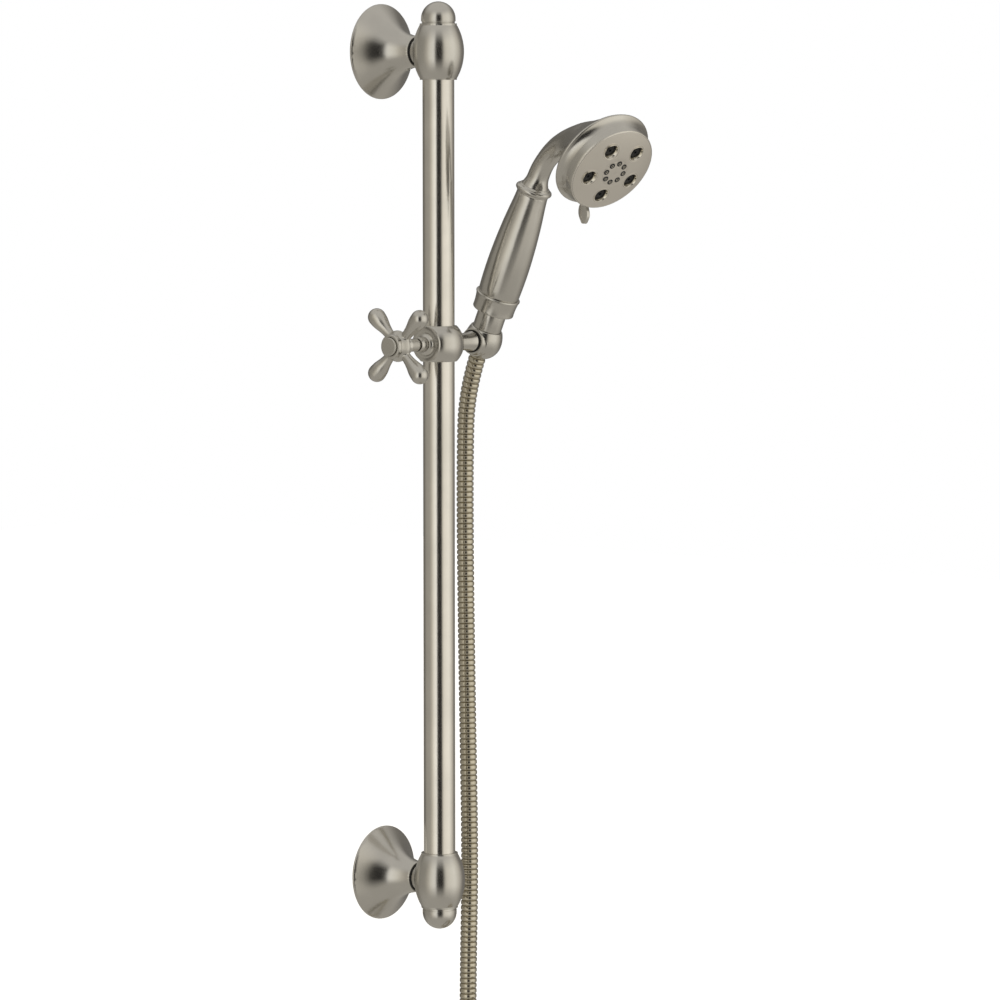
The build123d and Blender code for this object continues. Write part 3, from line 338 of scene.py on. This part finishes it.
def refined(node, name, material, edge=0.25, voxel=0, rounds=6):
    # a casting with softened edges: a copy of the CAD solid, merged, then bevelled or melted together
    piece = bpy.data.objects.new(name, frame["nodes"][node].data.copy())
    bpy.context.collection.objects.link(piece)
    deselectAll()
    piece.select_set(True)
    bpy.context.view_layer.objects.active = piece
    bpy.ops.object.mode_set(mode="EDIT")
    bpy.ops.mesh.select_all(action="SELECT")
    bpy.ops.mesh.remove_doubles(threshold=0.003 * mm)
    bpy.ops.object.mode_set(mode="OBJECT")
    if voxel:
        melt = piece.modifiers.new("melt", "REMESH")
        melt.mode = "VOXEL"
        melt.voxel_size = voxel * mm
        bpy.ops.object.modifier_apply(modifier="melt")
        soften = piece.modifiers.new("soften", "SMOOTH")
        soften.factor = 0.5
        soften.iterations = rounds
        bpy.ops.object.modifier_apply(modifier="soften")
    else:
        bevel = piece.modifiers.new("edge", "BEVEL")
        bevel.width = edge * mm
        bevel.segments = 2
        bevel.limit_method = "ANGLE"
        bevel.angle_limit = math.radians(38)
        bpy.ops.object.modifier_apply(modifier="edge")
    return settle(piece, material)


def keepFor(piece, body, slot, *nodes):
    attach(piece, body)
    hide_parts(*nodes)


# the hose: its strip is wound into rounded bands with narrow grooves
hoseShape = {"diameter": 14.0, "pitch": 4.3, "groove": 5.7, "length": 1500.0, "turnsRadius": 73.5,
             "turnsHeight": -200.0, "turnPitch": 14.3, "turns": 1.5, "turnPoints": 24, "tailRadius": 70.0,
             "tailLean": 10.0, "tailAngle": 144.2, "tailPoints": 10, "wallGap": 44.0, "sides": 26}
hoseX = ballCentre.x / mm
hoseStart = ballCentre - upHand * 6.3 * mm
route = [hoseStart, ballCentre - upHand * 43 * mm]
for place in ((hoseX, -41.4, 335), (hoseX - 0.2, -42.0, 245), (hoseX, -44.0, 125), (hoseX + 0.3, -46.3, 5),
              (hoseX, -hoseShape["wallGap"], -95)):
    route.append(Vector(place) * mm)
coilRadius = hoseShape["turnsRadius"]
coilMiddle = Vector((hoseX, -hoseShape["wallGap"] - coilRadius, hoseShape["turnsHeight"]))
route.append(Vector((hoseX, -hoseShape["wallGap"], hoseShape["turnsHeight"] + 20)) * mm)
for step in range(1, int(hoseShape["turns"] * hoseShape["turnPoints"]) + 1):
    angle = 2 * math.pi * step / hoseShape["turnPoints"]
    share = min(max(angle / math.pi - 1, 0), 1)
    sideways = hoseShape["turnPitch"] * share * share * (3 - 2 * share)
    offset = Vector((sideways, coilRadius * math.cos(angle), -coilRadius * math.sin(angle)))
    route.append((coilMiddle + offset) * mm)
tailLean = math.radians(hoseShape["tailLean"])
tailSide = Vector((math.sin(tailLean), math.cos(tailLean), 0))
tailMiddle = coilMiddle + Vector((hoseShape["turnPitch"], -coilRadius, 0))
tailMiddle += tailSide * hoseShape["tailRadius"]
for step in range(1, hoseShape["tailPoints"] + 1):
    angle = math.radians(hoseShape["tailAngle"]) * step / hoseShape["tailPoints"]
    outwards = Vector((0, 0, math.sin(angle))) - tailSide * math.cos(angle)
    route.append((tailMiddle + outwards * hoseShape["tailRadius"]) * mm)

routeCurve = bpy.data.curves.new("hoseRoute", "CURVE")
routeCurve.dimensions = "3D"
routeCurve.resolution_u = 24
spline = routeCurve.splines.new("NURBS")
spline.points.add(len(route) - 1)
for spot, place in zip(spline.points, route):
    spot.co = (*place, 1)
spline.order_u = 3
spline.use_endpoint_u = True
routeObject = bpy.data.objects.new("hoseRoute", routeCurve)
bpy.context.collection.objects.link(routeObject)
bpy.context.view_layer.update()
line = [vertex.co.copy() for vertex in bpy.data.meshes.new_from_object(routeObject).vertices]
bpy.data.objects.remove(routeObject)
reached = [0.0]
for before, after in zip(line, line[1:]):
    reached.append(reached[-1] + (after - before).length)
print("hose centre line:", round(reached[-1] / mm, 1), "mm,", len(line), "points")


def alongHose(distances):
    # the places on the hose's centre line at rising distances from its start
    places = []
    index = 0
    for distance in distances:
        while index < len(line) - 2 and reached[index + 1] < distance:
            index += 1
        share = (distance - reached[index]) / (reached[index + 1] - reached[index])
        places.append(line[index].lerp(line[index + 1], share))
    return places


hoseRadius = hoseShape["diameter"] / 2 * mm
grooveRadius = hoseShape["groove"] * mm
band = [(0, grooveRadius), (0.13, hoseRadius - 0.35 * mm), (0.32, hoseRadius), (0.68, hoseRadius),
        (0.87, hoseRadius - 0.35 * mm)]
bandCount = int(reached[-1] / (hoseShape["pitch"] * mm))
bandPitch = reached[-1] / bandCount
distances = []
radii = []
for index in range(bandCount):
    for share, radius in band:
        distances.append((index + share) * bandPitch)
        radii.append(radius)
distances.append(reached[-1])
radii.append(grooveRadius)
hose = pipeAlong("showerHose", alongHose(distances), radii, hoseShape["sides"], hoseNickel)
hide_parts("hose_tube", "hose_coil", "hose_tail")
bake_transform(hose)
print("hose made:", len(hose.data.polygons), "faces")

# neck and head: one casting, a tube that bends over and flares like a horn to the head's rim
hornShape = {"bend": 46.0,
             # radius at shares of the bend
             "flare": [(0, 8.8), (0.1, 8.5), (0.2, 8.3), (0.33, 8.8), (0.4, 9.4), (0.47, 10.1),
                       (0.53, 10.9), (0.6, 12.2), (0.67, 14.0), (0.73, 16.2), (0.8, 19.2), (0.87, 22.9),
                       (0.93, 28.0), (1, 35.6)],
             # heights from the face, negative behind it, with the radius: throat, rim and sweep to the drum
             "rim": [(-20.4, 37.8), (-19.0, 39.6), (-17.6, 41.1), (-16.5, 42.0), (-15.8, 42.45),
                     (-15.2, 42.6), (-14.7, 42.5), (-14.3, 42.1), (-13.9, 41.5), (-13.2, 40.7),
                     (-12.3, 39.9), (-11.2, 39.2), (-10.0, 38.6), (-8.8, 38.15), (-7.9, 37.9)],
             # heights above the socket's centre, with the radius, where the neck leaves its bead
             "foot": [(137.0, 11.2), (137.6, 11.0), (138.6, 10.5), (139.8, 10.0), (141.2, 9.5),
                      (142.6, 9.15), (144.0, 8.9)],
             "bendSteps": 72, "sides": 96}
fullBend = math.pi / 2 + headDrop
bendRadius = hornShape["bend"] * mm
bendDepth = (headForward - bendRadius * (1 - math.cos(fullBend))) / math.cos(headDrop)
neckStraight = headUp + bendDepth * math.sin(headDrop) - bendRadius * math.sin(fullBend)


def between(stations, value):
    # a smooth curve through stations, by cubic pieces with finite-difference slopes
    slopes = []
    for index in range(len(stations)):
        low = stations[max(index - 1, 0)]
        high = stations[min(index + 1, len(stations) - 1)]
        slopes.append((high[1] - low[1]) / (high[0] - low[0]))
    for index in range(len(stations) - 1):
        if value <= stations[index + 1][0] or index == len(stations) - 2:
            break
    (x0, y0), (x1, y1) = stations[index], stations[index + 1]
    width = x1 - x0
    t = (value - x0) / width
    return ((2 * t**3 - 3 * t**2 + 1) * y0 + (t**3 - 2 * t**2 + t) * width * slopes[index]
            + (3 * t**2 - 2 * t**3) * y1 + (t**3 - t**2) * width * slopes[index + 1])


places = []
radii = []
for height, radius in hornShape["foot"]:
    places.append(ballCentre + upHand * height * mm)
    radii.append(radius * mm)
for step in range(hornShape["bendSteps"] + 1):
    share = step / hornShape["bendSteps"]
    angle = fullBend * share
    across = forward * math.cos(angle) - upHand * math.sin(angle)
    places.append(ballCentre + upHand * neckStraight + (forward - across) * bendRadius)
    radii.append(between(hornShape["flare"], share) * mm)
for depth, radius in hornShape["rim"]:
    places.append(faceCentre + sprayWay * depth * mm)
    radii.append(radius * mm)
horn = pipeAlong("neckAndHead", places, radii, hornShape["sides"], satinNickel)
keepFor(horn, "handset", "nickel", "gooseneck", "head_shell")
print("neck and head made:", len(horn.data.polygons), "faces")

# spray face: crowned plate with polished cups, ring lines, silicone nozzles and fine jets
faceShape = {"edge": 36.5, "crown": 4.3, "jetCircle": 22.9, "jets": 5, "jetRing": 7.2, "fineCircle": 8.7,
             "fineJets": 8, "discRadius": 11.4}
crownRadius = (faceShape["edge"]**2 + faceShape["crown"]**2) / (2 * faceShape["crown"])


def crown(radius):
    # height of the bulging face, in millimetres, at a distance from its centre
    return faceShape["crown"] - crownRadius + math.sqrt(crownRadius**2 - radius**2)


def onHead(radius, angle, height):
    # a place over the face, turned with the rest of the head's frame
    spot = Vector((radius * math.cos(angle), radius * math.sin(angle), height)) * mm
    return head @ spot


def joined(pieces, name):
    deselectAll()
    for piece in pieces:
        piece.select_set(True)
    bpy.context.view_layer.objects.active = pieces[0]
    bpy.ops.object.join()
    whole = bpy.context.object
    whole.name = name
    deselectAll()
    return whole


facePlate = refined("face_plate", "facePlate", faceNickel, edge=0.3)
keepFor(facePlate, "handset", "face", "face_plate")
sprayDisc = refined("spray_disc", "sprayDisc", faceNickel, edge=0.18)
keepFor(sprayDisc, "handset", "face", "spray_disc")
# the drum's side is the same metal as the head, and its lip rolls over the edge of the face
drumBand = turnPiece("drumBand", [
    (34.6, -8.2), (37.85, -8.2), (37.75, -6.0), (37.65, -2.4), (37.5, -1.3), (37.15, -0.55), (36.75, -0.05),
    (36.35, 0.1), (36.1, 0.0), (36.1, -0.6), (36.7, -1.2), (36.9, -2.0), (34.6, -3.0), (34.6, -8.2)],
    head, satinNickel, 128)
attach(drumBand, "handset")
cups = []
nozzles = []
jetLines = []
for index in range(faceShape["jets"]):
    angle = 2 * math.pi * index / faceShape["jets"]
    spot = onHead(faceShape["jetCircle"], angle, 0)
    upright = station(spot, sprayWay, headDown)
    rimHeight = crown(faceShape["jetCircle"])
    cups.append(turnPiece(f"cup{index}", [
        (6.05, rimHeight - 0.9), (6.15, rimHeight - 0.15), (6.0, rimHeight + 0.02),
        (5.85, rimHeight - 0.25), (5.3, 1.4), (4.9, -0.2), (4.75, -0.95), (4.9, -1.1),
        (5.4, -0.6), (6.05, rimHeight - 0.9)],
        upright, polishedNickel, 64))
    nozzles.append(turnPiece(f"nozzle{index}", [
        (1.1, -3.0), (1.15, 0.5), (1.35, 0.85), (1.75, 0.85), (2.2, 0.4), (2.6, -0.2), (3.3, -0.3),
        (3.7, 0.0), (4.2, -0.15), (4.6, -0.7), (4.65, -4.5), (1.1, -4.5), (1.1, -3.0)],
        upright, nozzleRubber, 48))
    # a ring on a sphere is flat and faces along the sphere's own radius
    lineWay = (onHead(faceShape["jetCircle"], angle, crown(faceShape["jetCircle"]))
               - onHead(0, 0, faceShape["crown"] - crownRadius)).normalized()
    lineHeight = math.sqrt(crownRadius**2 - faceShape["jetRing"]**2)
    lineSpot = onHead(0, 0, faceShape["crown"] - crownRadius) + lineWay * lineHeight * mm
    jetLines.append(turnPiece(f"jetLine{index}", [
        (6.95, -0.3), (6.95, 0.0), (7.05, 0.1), (7.2, 0.14), (7.35, 0.1), (7.45, 0.0), (7.45, -0.3),
        (6.95, -0.3)], station(lineSpot, lineWay, headDown), polishedNickel, 64))
nozzleSet = joined(nozzles, "largeNozzles")
keepFor(nozzleSet, "handset", "dark_plastic", "large_jets")
for pieces, name in ((cups, "jetCups"), (jetLines, "jetRingLines")):
    trim = joined(pieces, name)
    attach(trim, "handset")
seals = []
tips = []
for index in range(faceShape["fineJets"]):
    angle = 2 * math.pi * index / faceShape["fineJets"]
    spot = onHead(faceShape["fineCircle"], angle, crown(faceShape["fineCircle"]))
    jetPlace = station(spot, sprayWay, headDown)
    seals.append(turnPiece(f"seal{index}", [
        (1.3, -1.5), (1.3, 0.1), (1.5, 0.3), (2.0, 0.3), (2.4, 0.12), (2.45, -0.02), (2.15, -0.1),
        (2.15, -1.5), (1.3, -1.5)],
        jetPlace, nozzleRubber, 32))
    tips.append(turnPiece(f"tip{index}", [
        (0.7, -1.4), (0.7, 0.2), (0.8, 0.32), (1.1, 0.32), (1.25, 0.1), (1.25, -1.4), (0.7, -1.4)],
        jetPlace, polishedNickel, 32))
fineSeals = joined(seals, "fineJetSeals")
keepFor(fineSeals, "handset", "black_rubber", "fine_jets")
fineTips = joined(tips, "fineJetTips")
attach(fineTips, "handset")
print("spray face made")

# lever, cross handle and the other castings
lever = refined("spray_lever", "sprayLever", satinNickel, edge=0.7)
keepFor(lever, "selector", "nickel", "spray_lever")
crossHandle = refined("cross_handle", "crossHandle", satinNickel, voxel=0.42, rounds=8)
keepFor(crossHandle, "cross_handle", "nickel", "cross_handle")
# node, body, and width of its softened edges in millimetres
castings = [("slider_body", "slider", 0.45), ("clamp_bonnet", "slider", 0.2), ("holder_arm", "slider", 0.2),
            ("holder_ball", "holder", 0.4), ("hose_nut", "hose_nut", 0.25),
            ("handle_collar", "handset", 0.25), ("handle_shell", "handset", 0.2),
            ("neck_bead", "handset", 0.25), ("handle_cap", "cross_handle", 0.3)]
for end in ("lower", "upper"):
    castings += [(f"{end}_flange", "wall_bar", 0.4), (f"{end}_barrel", "wall_bar", 0.35),
                 (f"{end}_dome", "wall_bar", 0.3)]
for node, body, edge in castings:
    words = node.split("_")
    name = words[0] + "".join(word.capitalize() for word in words[1:])
    piece = refined(node, name, satinNickel, edge=edge)
    keepFor(piece, body, "nickel", node)
print("castings finished")

floorShape = {"size": 9.0, "drop": 0.004}
deselectAll()
floorPlace = (0, 0, cadBox[0][2] - floorShape["drop"])
bpy.ops.mesh.primitive_plane_add(size=floorShape["size"], location=floorPlace)
floor = bpy.context.object
floor.name = "floor"
floor.visible_glossy = False    # the metal mirrors the studio walls, not the floor
settle(floor, paleFloor)
